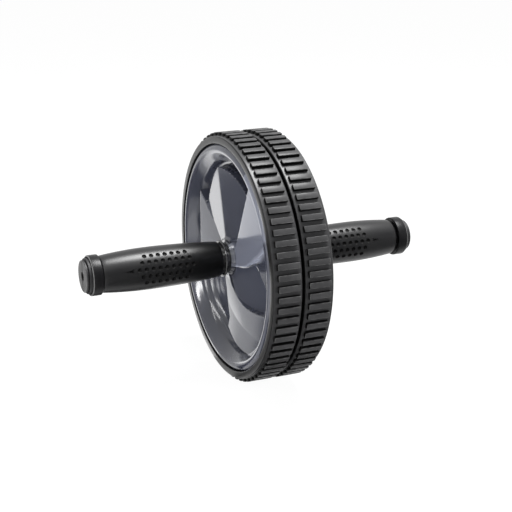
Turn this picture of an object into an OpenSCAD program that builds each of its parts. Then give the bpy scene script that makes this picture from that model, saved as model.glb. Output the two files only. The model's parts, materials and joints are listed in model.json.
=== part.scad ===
// Twin-wheel ab roller: two free-running wheels side by side on one steel axle,
// with a barrel-shaped rubber grip on each side. The axle lies along Y, X is the
// rolling direction, Z is up, and the origin is the axle's middle between the wheels.

/* [Wheel] */
// Diameter of each wheel over the tread bars
wheel_d = 185; // [160:1:210]
// Gap between the two tyres at the middle
wheel_gap = 1.8; // [1:0.1:4]
// Depth of the wheel's bowl floor below the tyre's outer side
bowl_depth = 7.8; // [6:0.1:9]
// Thickness of the wheel's web under the bowl floor
web_t = 3.2; // [2:0.1:5]
// Radius of the rounded lip next to the tyre
lip_r = 4.4; // [3.5:0.1:5]
// How far the lip stands proud of the tyre's side
lip_proud = 0.2; // [0:0.1:1]
// Length of the sloping bowl wall, measured along the radius
bowl_wall = 8; // [6:0.5:10]
// Width of the bevel at the foot of the bowl wall
foot_w = 1.6; // [0.8:0.1:2.5]
// Height of the bevel at the foot of the bowl wall
foot_h = 0.6; // [0.2:0.1:1]
// Thickness of the rim barrel under the tyre
rim_t = 3.6; // [2.5:0.1:5]
// Setback of the rim's inner edge from the tyre's inner side
rim_setback = 0.5; // [0.2:0.1:2]
// Radius of the wheel's hub tube
hub_r = 13; // [11.5:0.1:15]
// Radius of the cone at the foot of the hub
hub_foot_r = 18; // [16:0.5:22]
// Height of the hub's foot above the petals
hub_foot_h = 0.5; // [0.3:0.1:1]

/* [Wheel face] */
// Number of raised petals round the face
petals = 3; // [2:1:5]
// Angle that one petal spans
petal_angle = 38; // [20:1:45]
// Direction of the first petal, from +X towards +Z on the left wheel
petal_turn = 42; // [0:1:119]
// Height of the petals above the bowl floor
petal_h = 3; // [1.5:0.1:4]
// Distance from the tip of each roof-shaped facet pair to the foot of the bowl wall
facet_tip_gap = 2.5; // [1:0.5:10]
// Sideways shift of the arcs that close each facet pair
facet_arch_shift = 16; // [5:0.5:30]
// Slope of each facet away from its ridge
facet_tilt = 4; // [2:0.1:4]

/* [Tyre] */
// Width of each tyre
tyre_w = 21.9; // [18:0.1:30]
// Thickness of the tyre's rubber under the tread bars
tyre_t = 5.3; // [4:0.1:8]
// Height of the tread bars
bar_h = 2.7; // [1.5:0.1:3.5]
// Number of tread bars on each tyre
bars = 74; // [60:2:90]
// Width of a tread bar along the tread
bar_w = 4.2; // [3:0.1:5]
// Length of a tread bar across the tyre
bar_len = 16.2; // [10:0.1:17]
// Shift of the bars from the tyre's middle towards the other tyre
bar_shift = 0.4; // [0:0.1:0.8]
// Bevel at both ends of a tread bar
bar_bevel = 0.8; // [0.3:0.1:1.2]
// Radius of the tyre's rounded shoulders
shoulder_r = 1.1; // [0.5:0.1:2]
// Depth of the rib that keys the tyre to the rim
key_h = 1.2; // [0.5:0.1:2]
// Width of the rib that keys the tyre to the rim
key_w = 8; // [4:0.5:12]

/* [Axle] */
// Diameter of the axle rod
axle_d = 12; // [10:0.5:14]
// Diameter of the threaded stud at each end of the axle
stud_d = 8; // [6:0.5:9]
// Running clearance between a bush and the axle, on the radius
run_gap = 0.05; // [0.02:0.01:0.1]
// End play between neighbouring washers, bushes and collars
end_play = 0.1; // [0.05:0.05:0.3]
// Thickness of the washer between the two wheels
centre_washer_t = 1.6; // [1:0.1:3]
// Outside radius of the bushes in the wheel's hub
bush_r = 8.5; // [8:0.1:9.5]
// Length of a bush inside the hub
bush_len = 7; // [4:0.5:8]
// Radius of a bush's flange
bush_flange_r = 11; // [10:0.1:11.4]
// Thickness of a bush's flange
bush_flange_t = 1.2; // [0.8:0.1:2]
// Thickness of the thrust washer outside each hub
thrust_t = 1.5; // [0.8:0.1:2.5]
// Radius of the thrust washer outside each hub
thrust_r = 11.5; // [9:0.1:13]
// Depth of the thrust washer's inner face below the tyre's outer side
thrust_inset = 0.6; // [0:0.1:0.9]

/* [Handles] */
// Thickness of the collar at the inner end of each handle
collar_t = 1.8; // [1:0.1:3]
// Radius of the collar at the inner end of each handle
collar_r = 13.6; // [13:0.1:16]
// Share of the collar's thickness taken by its rounded edges
collar_round = 0.9; // [0.2:0.1:0.9]
// Outside radius of the handle core under the grip
core_r = 10.5; // [9:0.1:11.5]
// Length of a handle core between its collar and its cap
core_len = 92.2; // [85:0.1:120]
// How much shorter a grip is than its core
grip_play = 2.2; // [2.1:0.1:4]
// Gap between the left grip and its end cap
left_grip_gap = 0.4; // [0.1:0.1:2.1]
// Gap between the right grip and its end cap
right_grip_gap = 2; // [0.1:0.1:2.1]
// Radius of a grip at its inner end
grip_inner_r = 12.9; // [12.5:0.1:15]
// Radius of a grip where it is fattest
grip_belly_r = 15.4; // [13:0.1:18]
// Radius of a grip at its outer end
grip_outer_r = 13.2; // [12.5:0.1:15]
// Distance from a grip's inner end to where it is fattest
grip_belly_at = 54; // [30:1:65]
// Diameter of a dimple in a grip
dimple_d = 3; // [1.5:0.1:3.6]
// Depth of a dimple in a grip
dimple_h = 0.7; // [0.3:0.1:1]
// Distance between dimples along a grip and round it
dimple_pitch = 5.1; // [4.5:0.1:6]
// Dimples in the middle row of a patch
dimples_middle = 9; // [5:1:11]
// Rows of dimples in a patch
dimple_rows = 5; // [3:2:5]
// Direction of a dimple patch round the handle, up from +X
dimple_turn = 15; // [-90:1:90]
// Distance from a grip's inner end to the middle of a dimple patch
dimple_at = 44; // [35:1:50]
// Length of the dart that points outwards from each dimple patch
dart_len = 6.5; // [3:0.5:8]
// Width of the dart at its blunt end
dart_w = 2.6; // [1:0.1:4]
// Depth of the dart
dart_h = 0.7; // [0.3:0.1:1]

/* [End caps] */
// Radius of an end cap
cap_r = 14.6; // [13.6:0.1:17]
// Length of an end cap
cap_len = 7.6; // [7:0.1:12]
// Radius of the rounding on an end cap's edges
cap_round = 0.8; // [0.3:0.1:0.9]
// Thickness of the web that clamps an end cap to the axle
cap_web_t = 2; // [1.5:0.1:2.5]
// Radius of the pocket for the nut in an end cap
cap_pocket_r = 9.6; // [9.2:0.1:11]
// Width of an end cap's rim round the sunk ring
cap_rim_w = 1.2; // [1:0.1:2]
// Depth of the sunk ring round an end plug
cap_sink = 0.8; // [0.4:0.1:1.5]
// Radius of an end plug's disc
plug_r = 12.1; // [10.5:0.1:12.2]
// How far an end plug stands out of its cap
plug_proud = 4.1; // [3.5:0.1:6]
// Radius of the hole in an end plug
plug_hole_r = 3.2; // [2:0.1:4]
// Thickness of an end plug's disc round the hole
plug_face_t = 2.7; // [2:0.1:3]
// Wall of the spigot that holds an end plug in its cap
spigot_wall = 1.6; // [1:0.1:1.6]
// Bevel round an end plug's face
plug_bevel = 0.5; // [0.2:0.1:1]
// Width of the fine line across an end plug's face
line_w = 0.5; // [0.3:0.1:1]
// Depth of the fine line across an end plug's face
line_h = 0.4; // [0.2:0.1:1]
// Thickness of the washer under an end nut
nut_washer_t = 1.2; // [0.8:0.1:1.6]
// Radius of the washer under an end nut
nut_washer_r = 7.6; // [6.5:0.1:7.8]
// Width across the flats of an end nut
nut_flats = 13; // [11:0.5:13]
// Thickness of an end nut
nut_t = 4; // [3:0.1:4]
// Clearance above and below an end nut's stack
nut_clear = 0.3; // [0.1:0.1:0.5]
// Clearance round the stud, on the radius
stud_clear = 0.1; // [0.05:0.05:0.3]

/* [Hidden] */
$fn = 96;
left = -1;
right = 1;
eps = 0.01;
// Overshoot of cutting shapes
cut = 1;
// Depth to which raised shapes sink into what they stand on
root = 0.8;

// Distances below are measured outwards from the middle of the axle
tyre_in = wheel_gap / 2;
tyre_out = tyre_in + tyre_w;
tyre_mid = tyre_in + tyre_w / 2;
tread_r = wheel_d / 2 - bar_h;
rim_r = tread_r - tyre_t;
bar_pitch_angle = 360 / bars;
bar_in = tyre_mid - bar_len / 2 - bar_shift;
bar_out = bar_in + bar_len;

lip_top = tyre_out + lip_proud;
lip_at_r = rim_r - lip_r;
lip_at_z = lip_top - lip_r;
floor_z = tyre_out - bowl_depth;
face_z = floor_z + petal_h;
web_z = floor_z - web_t;
wall_top_r = lip_at_r - lip_r * cos(45);
wall_top_z = lip_at_z + lip_r * sin(45);
floor_r = wall_top_r - bowl_wall;
rim_in_z = tyre_in + rim_setback;
rim_in_r = rim_r - rim_t;

// Radius at which the bowl wall reaches the height of the petals
wall_slope = (wall_top_r - floor_r - foot_w) / (wall_top_z - floor_z - foot_h);
petal_r = floor_r + foot_w + (petal_h - foot_h) * wall_slope;
facet_tip_r = floor_r - facet_tip_gap;
facet_angle = 360 / petals - petal_angle;
facet_lap = 2;
facet_arch_r = sqrt(pow(facet_tip_r, 2) + pow(facet_arch_shift, 2));

// The stack of parts along the axle, from the middle outwards
centre_washer_z = centre_washer_t / 2;
inner_bush_z = centre_washer_z + end_play;
hub_in_z = inner_bush_z + bush_flange_t;
thrust_z = max(tyre_out - thrust_inset, face_z + bush_flange_t + 2 * end_play);
outer_bush_z = thrust_z - end_play;
hub_out_z = outer_bush_z - bush_flange_t;
collar_z = thrust_z + thrust_t + end_play;
core_z = collar_z + collar_t;
cap_z = core_z + core_len;
cap_out = cap_z + cap_len;
plug_seat_z = cap_out - cap_sink;
plug_out = cap_out + plug_proud;
plug_face_z = plug_out - plug_face_t;
nut_washer_z = cap_z + cap_web_t;
nut_z = nut_washer_z + nut_washer_t;
spigot_z = nut_z + nut_clear;
stud_out = nut_z + nut_t + nut_clear;
bush_bore_r = axle_d / 2 + run_gap;
stud_bore_r = stud_d / 2 + stud_clear;
collar_edge_r = collar_round * collar_t / 2;
grip_len = core_len - grip_play;

dimple_ball_r = (pow(dimple_d / 2, 2) + pow(dimple_h, 2)) / (2 * dimple_h);
dimple_patches = 2;

body_grey = [0.56, 0.58, 0.63];
rubber_black = [0.13, 0.13, 0.13];
gloss_black = [0.08, 0.08, 0.08];
steel = [0.72, 0.73, 0.75];
nylon = [0.88, 0.87, 0.82];

// Lays a part built along +Z onto the axle, pointing to the left or the right side
module on_side(side) {
    rotate([-90 * side, 0, 0]) children();
}

// A washer or sleeve from z0 to z1
module ring(outer, inner, z0, z1) {
    translate([0, 0, z0]) difference() {
        cylinder(r = outer, h = z1 - z0);
        translate([0, 0, -cut]) cylinder(r = inner, h = z1 - z0 + 2 * cut);
    }
}

// A flat wedge of a circle, of the given angle, centred on +X
module wedge(r, angle) {
    intersection() {
        circle(r = r);
        polygon([
            [0, 0],
            [2 * r * cos(angle / 2), -2 * r * sin(angle / 2)],
            [2 * r, 0],
            [2 * r * cos(angle / 2), 2 * r * sin(angle / 2)]
        ]);
    }
}

// Rim, sloping bowl wall, web and hub of a wheel, in one turned section, before the bore is cut
module wheel_section() {
    blank_r = bush_r - root;
    union() {
        translate([lip_at_r, lip_at_z]) circle(r = lip_r);
        polygon([
            [blank_r, web_z],
            [floor_r, web_z],
            [rim_in_r, lip_at_z - lip_r - root],
            [rim_in_r, rim_in_z],
            [rim_r, rim_in_z],
            [rim_r, tyre_mid - key_w / 2],
            [rim_r + key_h, tyre_mid - key_w / 2 + key_h],
            [rim_r + key_h, tyre_mid + key_w / 2 - key_h],
            [rim_r, tyre_mid + key_w / 2],
            [rim_r, lip_at_z],
            [wall_top_r, wall_top_z],
            [floor_r + foot_w, floor_z + foot_h],
            [floor_r, floor_z],
            [blank_r, floor_z]
        ]);
        polygon([
            [blank_r, hub_in_z],
            [hub_r, hub_in_z],
            [hub_r, floor_z],
            [hub_foot_r, floor_z],
            [hub_foot_r, face_z + hub_foot_h],
            [hub_r, hub_out_z],
            [blank_r, hub_out_z]
        ]);
    }
}

// One pair of facets that slope away from a ridge like a low roof, ridge along +X
module facet_pair() {
    half_w = facet_arch_r - facet_arch_shift;
    eaves_z = face_z - half_w * tan(facet_tilt);
    intersection() {
        translate([0, 0, floor_z - root]) linear_extrude(petal_h + root + cut) intersection() {
            wedge(floor_r, facet_angle + facet_lap);
            translate([0, facet_arch_shift]) circle(r = facet_arch_r);
            translate([0, -facet_arch_shift]) circle(r = facet_arch_r);
        }
        rotate([90, 0, 90]) linear_extrude(floor_r) polygon([
            [-half_w, web_z],
            [half_w, web_z],
            [half_w, eaves_z],
            [0, face_z],
            [-half_w, eaves_z]
        ]);
    }
}

module wheel(side) {
    color(body_grey) on_side(side) difference() {
        union() {
            rotate_extrude() wheel_section();
            for (i = [0 : petals - 1]) {
                rotate([0, 0, petal_turn + i * 360 / petals]) {
                    translate([0, 0, floor_z - root])
                        linear_extrude(petal_h + root)
                            wedge(petal_r + root, petal_angle);
                    rotate([0, 0, 180 / petals]) facet_pair();
                }
            }
        }
        cylinder(r = bush_r, h = 2 * (tyre_out + cut), center = true);
    }
}

// Tread bars seen from the side, as one toothed ring
module bar_ring() {
    gap_in = tread_r - root - cut;
    gap_out = wheel_d / 2 + cut;
    difference() {
        circle(r = wheel_d / 2);
        for (i = [0 : bars - 1]) {
            rotate((i + 0.5) * bar_pitch_angle + 90)
                polygon([
                    [gap_in, -gap_half(gap_in)],
                    [gap_out, -gap_half(gap_out)],
                    [gap_out, gap_half(gap_out)],
                    [gap_in, gap_half(gap_in)]
                ]);
        }
        circle(r = tread_r - root);
    }
}

// Half the gap between two bars at radius r
function gap_half(r) = r * tan(bar_pitch_angle / 2) - bar_w / 2;

module tyre(side) {
    color(rubber_black) on_side(side) union() {
        rotate_extrude() tyre_section();
        intersection() {
            translate([0, 0, bar_in]) linear_extrude(bar_len) bar_ring();
            rotate_extrude() bar_ends_section();
        }
    }
}

// The tyre under its bars, with rounded shoulders and a groove for the rim's rib
module tyre_section() {
    difference() {
        union() {
            translate([rim_r, tyre_in]) square([tyre_t - shoulder_r, tyre_w]);
            translate([rim_r, tyre_in + shoulder_r]) square([tyre_t, tyre_w - 2 * shoulder_r]);
            translate([tread_r - shoulder_r, tyre_in + shoulder_r]) circle(r = shoulder_r);
            translate([tread_r - shoulder_r, tyre_out - shoulder_r]) circle(r = shoulder_r);
        }
        polygon([
            [rim_r - cut, tyre_mid - key_w / 2 - cut],
            [rim_r, tyre_mid - key_w / 2],
            [rim_r + key_h, tyre_mid - key_w / 2 + key_h],
            [rim_r + key_h, tyre_mid + key_w / 2 - key_h],
            [rim_r, tyre_mid + key_w / 2],
            [rim_r - cut, tyre_mid + key_w / 2 + cut]
        ]);
    }
}

// Envelope that bevels both ends of every bar
module bar_ends_section() {
    polygon([
        [tread_r - root - cut, bar_in],
        [wheel_d / 2 - bar_bevel, bar_in],
        [wheel_d / 2 + cut, bar_in + bar_bevel + cut],
        [wheel_d / 2 + cut, bar_out - bar_bevel - cut],
        [wheel_d / 2 - bar_bevel, bar_out],
        [tread_r - root - cut, bar_out]
    ]);
}

module inner_bush(side) {
    color(nylon) on_side(side) {
        ring(bush_flange_r, bush_bore_r, inner_bush_z, hub_in_z);
        ring(bush_r, bush_bore_r, hub_in_z, hub_in_z + bush_len);
    }
}

module outer_bush(side) {
    color(nylon) on_side(side) {
        ring(bush_flange_r, bush_bore_r, hub_out_z, outer_bush_z);
        ring(bush_r, bush_bore_r, hub_out_z - bush_len, hub_out_z);
    }
}

module axle() {
    color(steel) rotate([90, 0, 0]) {
        cylinder(d = axle_d, h = 2 * cap_z, center = true);
        cylinder(d = stud_d, h = 2 * stud_out, center = true);
    }
}

module centre_washer() {
    color(nylon) on_side(right)
        ring(bush_flange_r, bush_bore_r, -centre_washer_z, centre_washer_z);
}

module thrust_washer(side) {
    color(gloss_black) on_side(side)
        ring(thrust_r, bush_bore_r, thrust_z, thrust_z + thrust_t);
}

module handle_core(side) {
    color(gloss_black) on_side(side) difference() {
        union() {
            rotate_extrude() collar_section();
            translate([0, 0, collar_z]) cylinder(r = core_r, h = cap_z - collar_z);
        }
        cylinder(r = bush_bore_r, h = cap_z + cut);
    }
}

// The rounded collar at the inner end of a handle
module collar_section() {
    edge_r = collar_edge_r;
    union() {
        translate([axle_d / 2, collar_z]) square([collar_r - edge_r - axle_d / 2, collar_t]);
        translate([collar_r - edge_r, collar_z + edge_r]) circle(r = edge_r);
        translate([collar_r - edge_r, core_z - edge_r]) circle(r = edge_r);
        translate([collar_r - 2 * edge_r, collar_z + edge_r])
            square([2 * edge_r, collar_t - 2 * edge_r]);
    }
}

// Grip radius at distance s from its inner end: two bows that meet at the belly
function grip_r(s) = s < grip_belly_at
    ? grip_belly_r - (grip_belly_r - grip_inner_r) * pow((grip_belly_at - s) / grip_belly_at, 2)
    : grip_belly_r - (grip_belly_r - grip_outer_r)
        * pow((s - grip_belly_at) / (grip_len - grip_belly_at), 2);

function grip_gap(side) = side == left ? left_grip_gap : right_grip_gap;
function grip_z(side) = cap_z - grip_gap(side) - grip_len;

module grip(side) {
    steps = 24;
    color(rubber_black) on_side(side) translate([0, 0, grip_z(side)]) difference() {
        rotate_extrude() polygon(concat(
            [[core_r, 0]],
            [for (i = [0 : steps]) [grip_r(i * grip_len / steps), i * grip_len / steps]],
            [[core_r, grip_len]]
        ));
        for (patch = [0 : dimple_patches - 1]) {
            rotate(-side * dimple_turn + patch * 360 / dimple_patches) {
                dimple_patch();
                dart();
            }
        }
    }
}

// A staggered patch of round dimples, centred on +X
module dimple_patch() {
    row_angle = dimple_pitch / grip_belly_r * 180 / PI;
    middle_row = (dimple_rows - 1) / 2;
    for (row = [-middle_row : middle_row]) {
        count = dimples_middle - abs(row);
        for (i = [0 : count - 1]) {
            s = dimple_at + (i - (count - 1) / 2) * dimple_pitch;
            rotate(row * row_angle)
                translate([grip_r(s) + dimple_ball_r - dimple_h, 0, s])
                    sphere(r = dimple_ball_r, $fn = 32);
        }
    }
}

// A shallow dart that points outwards beyond the middle row of a dimple patch
module dart() {
    dart_z = dimple_at + (dimples_middle + 1) / 2 * dimple_pitch - dimple_d / 2;
    translate([grip_r(dart_z) - dart_h, 0, dart_z]) rotate([0, 90, 0]) linear_extrude(dart_h + cut)
        polygon([[0, -dart_w / 2], [-dart_len, 0], [0, dart_w / 2]]);
}

module end_cap(side) {
    color(gloss_black) on_side(side) difference() {
        rotate_extrude() end_cap_section();
        cylinder(r = stud_bore_r, h = cap_out + cut);
        translate([0, 0, nut_washer_z]) cylinder(r = cap_pocket_r, h = cap_len);
        translate([0, 0, plug_seat_z]) cylinder(r = cap_r - cap_rim_w, h = cap_len);
    }
}

// Half section of an end cap with rounded outer edges
module end_cap_section() {
    union() {
        translate([0, cap_z]) square([cap_r - cap_round, cap_len]);
        translate([0, cap_z + cap_round]) square([cap_r, cap_len - 2 * cap_round]);
        translate([cap_r - cap_round, cap_z + cap_round]) circle(r = cap_round);
        translate([cap_r - cap_round, cap_out - cap_round]) circle(r = cap_round);
    }
}

module nut_washer(side) {
    color(steel) on_side(side)
        ring(nut_washer_r, stud_bore_r, nut_washer_z, nut_washer_z + nut_washer_t);
}

module end_nut(side) {
    color(steel) on_side(side) translate([0, 0, nut_z]) difference() {
        cylinder(d = nut_flats / cos(30), h = nut_t, $fn = 6);
        translate([0, 0, -cut]) cylinder(d = stud_d, h = nut_t + 2 * cut);
    }
}

module end_plug(side) {
    bevel_z = plug_out - plug_bevel;
    color(rubber_black) on_side(side) difference() {
        union() {
            translate([0, 0, plug_seat_z]) cylinder(r = plug_r, h = bevel_z - plug_seat_z);
            translate([0, 0, bevel_z])
                cylinder(r1 = plug_r, r2 = plug_r - plug_bevel, h = plug_bevel);
            translate([0, 0, spigot_z]) cylinder(r = cap_pocket_r, h = plug_seat_z - spigot_z + eps);
        }
        translate([0, 0, spigot_z - cut])
            cylinder(r = cap_pocket_r - spigot_wall, h = plug_face_z - spigot_z + cut);
        translate([0, 0, spigot_z]) cylinder(r = plug_hole_r, h = plug_out - spigot_z + cut);
        translate([-line_w / 2, -plug_r - cut, plug_out - line_h])
            cube([line_w, 2 * (plug_r + cut), line_h + cut]);
    }
}

axle();
centre_washer();
wheel(left);  // left_wheel
wheel(right);  // right_wheel
tyre(left);  // left_tyre
tyre(right);  // right_tyre
inner_bush(left);  // left_inner_bush
inner_bush(right);  // right_inner_bush
outer_bush(left);  // left_outer_bush
outer_bush(right);  // right_outer_bush
thrust_washer(left);  // left_thrust_washer
thrust_washer(right);  // right_thrust_washer
handle_core(left);  // left_handle_core
handle_core(right);  // right_handle_core
grip(left);  // left_grip
grip(right);  // right_grip
end_cap(left);  // left_end_cap
end_cap(right);  // right_end_cap
nut_washer(left);  // left_nut_washer
nut_washer(right);  // right_nut_washer
end_nut(left);  // left_end_nut
end_nut(right);  // right_end_nut
end_plug(left);  // left_end_plug
end_plug(right);  // right_end_plug
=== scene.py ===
# %% [markdown]
# # A twin-wheel ab roller
# Two glossy grey wheels with rubber tyres turn side by side on one steel axle, and a
# dimpled rubber grip sticks out on each side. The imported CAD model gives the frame, and the
# main sizes here are those of its parts. This script adds what the solids leave out: the
# moulded face, the tread's soft edges, the rounded dimples and the finishes. It starts with
# the model, because every piece is placed by it.

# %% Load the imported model
import json
import math

import bmesh
import bpy
import numpy as np
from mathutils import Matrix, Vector


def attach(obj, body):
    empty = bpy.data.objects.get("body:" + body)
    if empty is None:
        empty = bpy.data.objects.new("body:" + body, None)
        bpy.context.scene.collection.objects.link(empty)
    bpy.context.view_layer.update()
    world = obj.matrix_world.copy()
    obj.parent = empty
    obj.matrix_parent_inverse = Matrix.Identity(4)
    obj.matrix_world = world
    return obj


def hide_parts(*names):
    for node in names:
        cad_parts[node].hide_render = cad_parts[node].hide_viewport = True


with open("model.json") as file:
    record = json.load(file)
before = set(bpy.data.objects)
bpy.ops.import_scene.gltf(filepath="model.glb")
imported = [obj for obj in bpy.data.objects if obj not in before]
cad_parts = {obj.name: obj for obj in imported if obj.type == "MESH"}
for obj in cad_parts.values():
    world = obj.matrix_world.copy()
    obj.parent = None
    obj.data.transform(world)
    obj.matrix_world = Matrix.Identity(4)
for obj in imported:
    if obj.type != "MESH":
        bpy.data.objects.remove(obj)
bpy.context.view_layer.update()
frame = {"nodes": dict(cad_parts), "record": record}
MM = 0.001
MM_IN_METRE = 1000.0
SIDES = {"left": -1, "right": 1}

# %% [markdown]
# ## The camera
# The view was fitted to the rims, the tread and the handle ends of the photograph. It looks
# at the middle of the axle from the front right, a little from above, through a lens of
# about 84 mm. The small shift puts the object where the photograph has it.

# %% Camera
VIEW_TURN = math.radians(66.68)
VIEW_RISE = math.radians(17.78)
VIEW_DISTANCE = 0.8846
FOCAL_LENGTH = 83.62
SENSOR_WIDTH = 36.0
SHIFT_ACROSS = 0.00846
SHIFT_UP = -0.00318

towards_camera = Vector((
    math.sin(VIEW_TURN) * math.cos(VIEW_RISE),
    -math.cos(VIEW_TURN) * math.cos(VIEW_RISE),
    math.sin(VIEW_RISE),
))
lens = bpy.data.cameras.new("studio_camera")
lens.lens = FOCAL_LENGTH
lens.sensor_width = SENSOR_WIDTH
lens.shift_x = SHIFT_ACROSS
lens.shift_y = SHIFT_UP
camera = bpy.data.objects.new("studio_camera", lens)
camera.location = towards_camera * VIEW_DISTANCE
camera.rotation_euler = (-towards_camera).to_track_quat("-Z", "Y").to_euler()
bpy.context.scene.collection.objects.link(camera)
bpy.context.scene.camera = camera
print("camera at", [round(v, 3) for v in camera.location])

# %% [markdown]
# ## Shader maths that reads like Python
# A finish is a small net of nodes. Wiring it by hand hides the idea, so one class wraps a
# socket and turns +, * and 1 - x into Math nodes. A second class holds one material and adds
# any other node from its type, its settings and the values of its sockets.

# %% Socket wrapper
class Wire:
    def __init__(self, finish, socket):
        self.finish = finish
        self.socket = socket

    def maths(self, operation, *values):
        return self.finish.node(
            "ShaderNodeMath", {"operation": operation}, dict(enumerate([self, *values])))

    def __add__(self, other):
        return self.maths("ADD", other)

    __radd__ = __add__

    def __mul__(self, other):
        return self.maths("MULTIPLY", other)

    __rmul__ = __mul__

    def __rsub__(self, other):
        return self.maths("MULTIPLY", -1.0) + other

    def step(self, low, high):
        """0 below low, 1 above high, and a smooth rise in between."""
        return self.finish.node(
            "ShaderNodeMapRange", {"interpolation_type": "SMOOTHSTEP"},
            {"Value": self, "From Min": low, "From Max": high})


# %% Material builder
class Finish:
    def __init__(self, name, **plain):
        self.material = bpy.data.materials.new(name)
        self.material.use_nodes = True
        self.tree = self.material.node_tree
        self.tree.nodes.clear()
        self.shader = self.tree.nodes.new("ShaderNodeBsdfPrincipled")
        self.output = self.tree.nodes.new("ShaderNodeOutputMaterial")
        self.plug(self.output.inputs[0], Wire(self, self.shader.outputs[0]))
        for socket, value in plain.items():
            self.set(socket.replace("_", " ").title().replace("Ior", "IOR"), value)
        self.place = self.node("ShaderNodeTexCoord", out="Object")

    def set(self, socket, value):
        self.plug(self.shader.inputs[socket], value)

    def plug(self, target, value):
        if isinstance(value, Wire):
            self.tree.links.new(value.socket, target)
        elif hasattr(target.default_value, "__len__") and len(value) == 3 and len(target.default_value) == 4:
            target.default_value = (*value, 1.0)
        else:
            target.default_value = value

    def node(self, kind, settings=None, sockets=None, out=0):
        made = self.tree.nodes.new(kind)
        for name, value in (settings or {}).items():
            setattr(made, name, value)
        for key, value in (sockets or {}).items():
            self.plug(made.inputs[key], value)
        return Wire(self, made.outputs[out])

    def noise(self, scale, detail=3.0, stretch=None):
        vector = self.place
        if stretch:
            vector = self.node("ShaderNodeVectorMath", {"operation": "MULTIPLY"}, {0: vector, 1: stretch})
        return self.node("ShaderNodeTexNoise", {}, {"Vector": vector, "Scale": scale, "Detail": detail})

    def mix(self, share, first, second):
        return self.node(
            "ShaderNodeMix", {"data_type": "RGBA"}, {0: share, 6: first, 7: second}, out=2)

    def bump(self, height, distance, strength):
        return self.node(
            "ShaderNodeBump", {}, {"Height": height, "Distance": distance, "Strength": strength})

    def attribute(self, name):
        return self.node("ShaderNodeAttribute", {"attribute_name": name}, out="Fac")

    def off_middle(self, axis):
        """Distance from the middle along one axis, in millimetres."""
        split = self.node("ShaderNodeSeparateXYZ", sockets={"Vector": self.place}, out=axis)
        return (split * MM_IN_METRE).maths("ABSOLUTE")

    def axle_distance(self):
        """Distance from the axle's line, in millimetres."""
        flat = self.node("ShaderNodeVectorMath", {"operation": "MULTIPLY"},
                         {0: self.place, 1: (MM_IN_METRE, 0.0, MM_IN_METRE)})
        return self.node("ShaderNodeVectorMath", {"operation": "LENGTH"}, {0: flat}, out="Value")


# %% [markdown]
# ## The wheel's finish
# The wheel is polished moulded plastic, so its colour hardly changes and its shine does the
# work. A painted picture could give the same spots, but noise on Object coordinates needs
# no picture and never stretches. An attribute written on the mesh further down paints light
# into the colour of the hollow beside the hub and of the petal above it. The hub is painted
# darker, as painted shade beside the collar.

# %% Wheel plastic
HUB_FOOT_R = 13.4


def wheel_plastic():
    finish = Finish("wheel_plastic", ior=1.62)
    cloud = finish.noise(35.0)
    # Painted shade: the hub is darkened where it meets the collar.
    hub = 1.0 - finish.axle_distance().step(HUB_FOOT_R + 0.2, HUB_FOOT_R + 1.0)
    body = finish.mix(cloud, (0.040, 0.043, 0.061), (0.046, 0.050, 0.070))
    # Painted light: the marked hollow and petal get a much lighter colour.
    body = finish.mix(finish.attribute("pale"), body, (0.32, 0.34, 0.42))
    finish.set("Base Color", finish.mix(hub * 0.5, body, (0.006, 0.006, 0.008)))
    finish.set("Roughness", finish.noise(160.0) * 0.05 + 0.12)
    finish.set("Normal", finish.bump(finish.noise(700.0, 2.0), distance=0.00002, strength=0.35))
    return finish.material


# %% [markdown]
# ## The rubber finishes
# Rubber is dull and a little uneven. On the tyre, four zones differ: the tops of the bars
# are rubbed pale, their edges carry broken bits of painted highlight, their flanks are
# painted black as painted shade, and the ground between them is painted lighter as painted
# light and has a soft sheen, as has the smooth shoulder. The distance from the axle tells
# these zones apart, so no picture has to be laid on the tread. A grip is painted black
# towards the wheel as painted shade, and its dimples are painted dark inside as painted
# shade.

# %% Tyre rubber
TREAD_R = 89.8
BAR_TOP_R = 92.5


def tyre_rubber():
    finish = Finish("tyre_rubber", specular_ior_level=0.06, coat_roughness=0.30, coat_ior=1.4)
    cloud = finish.noise(90.0, 4.0)
    rubbed = finish.axle_distance().step(BAR_TOP_R - 0.9, BAR_TOP_R - 0.1)
    above_ground = finish.axle_distance().step(TREAD_R + 0.1, TREAD_R + 0.3)
    ground = finish.axle_distance().step(TREAD_R - 0.4, TREAD_R - 0.1) * (1.0 - above_ground)
    shoulder = 1.0 - finish.axle_distance().step(TREAD_R - 0.8, TREAD_R - 0.2)
    # Painted highlight: the bars' top edges are lightened, broken up by noise.
    edge = finish.attribute("edge") * finish.noise(260.0, 2.0).step(0.35, 0.65)
    # Painted shade and light: the bars' flanks are painted black, and the ground between the bars is
    # lighter.
    flank = finish.mix(cloud, (0.001, 0.001, 0.001), (0.004, 0.004, 0.004))
    body = finish.mix(ground, flank, (0.027, 0.027, 0.028))
    worn = finish.mix(rubbed * (cloud * 0.8 + 0.45), body, (0.037, 0.037, 0.038))
    finish.set("Base Color", finish.mix(edge, worn, (0.090, 0.090, 0.090)))
    finish.set("Roughness", cloud * 0.1 + 0.4)
    finish.set("Coat Weight", rubbed * 0.20 + ground * 0.45 + shoulder * 0.85)
    finish.set("Normal", finish.bump(finish.noise(1400.0, 4.0), distance=0.00012, strength=0.5))
    return finish.material


# %% Grip rubber
# Painted shade on the grip fades out between these distances from the middle, in millimetres.
SHADE_FADES_FROM = 34.0
SHADE_GONE_AT = 74.0


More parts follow.
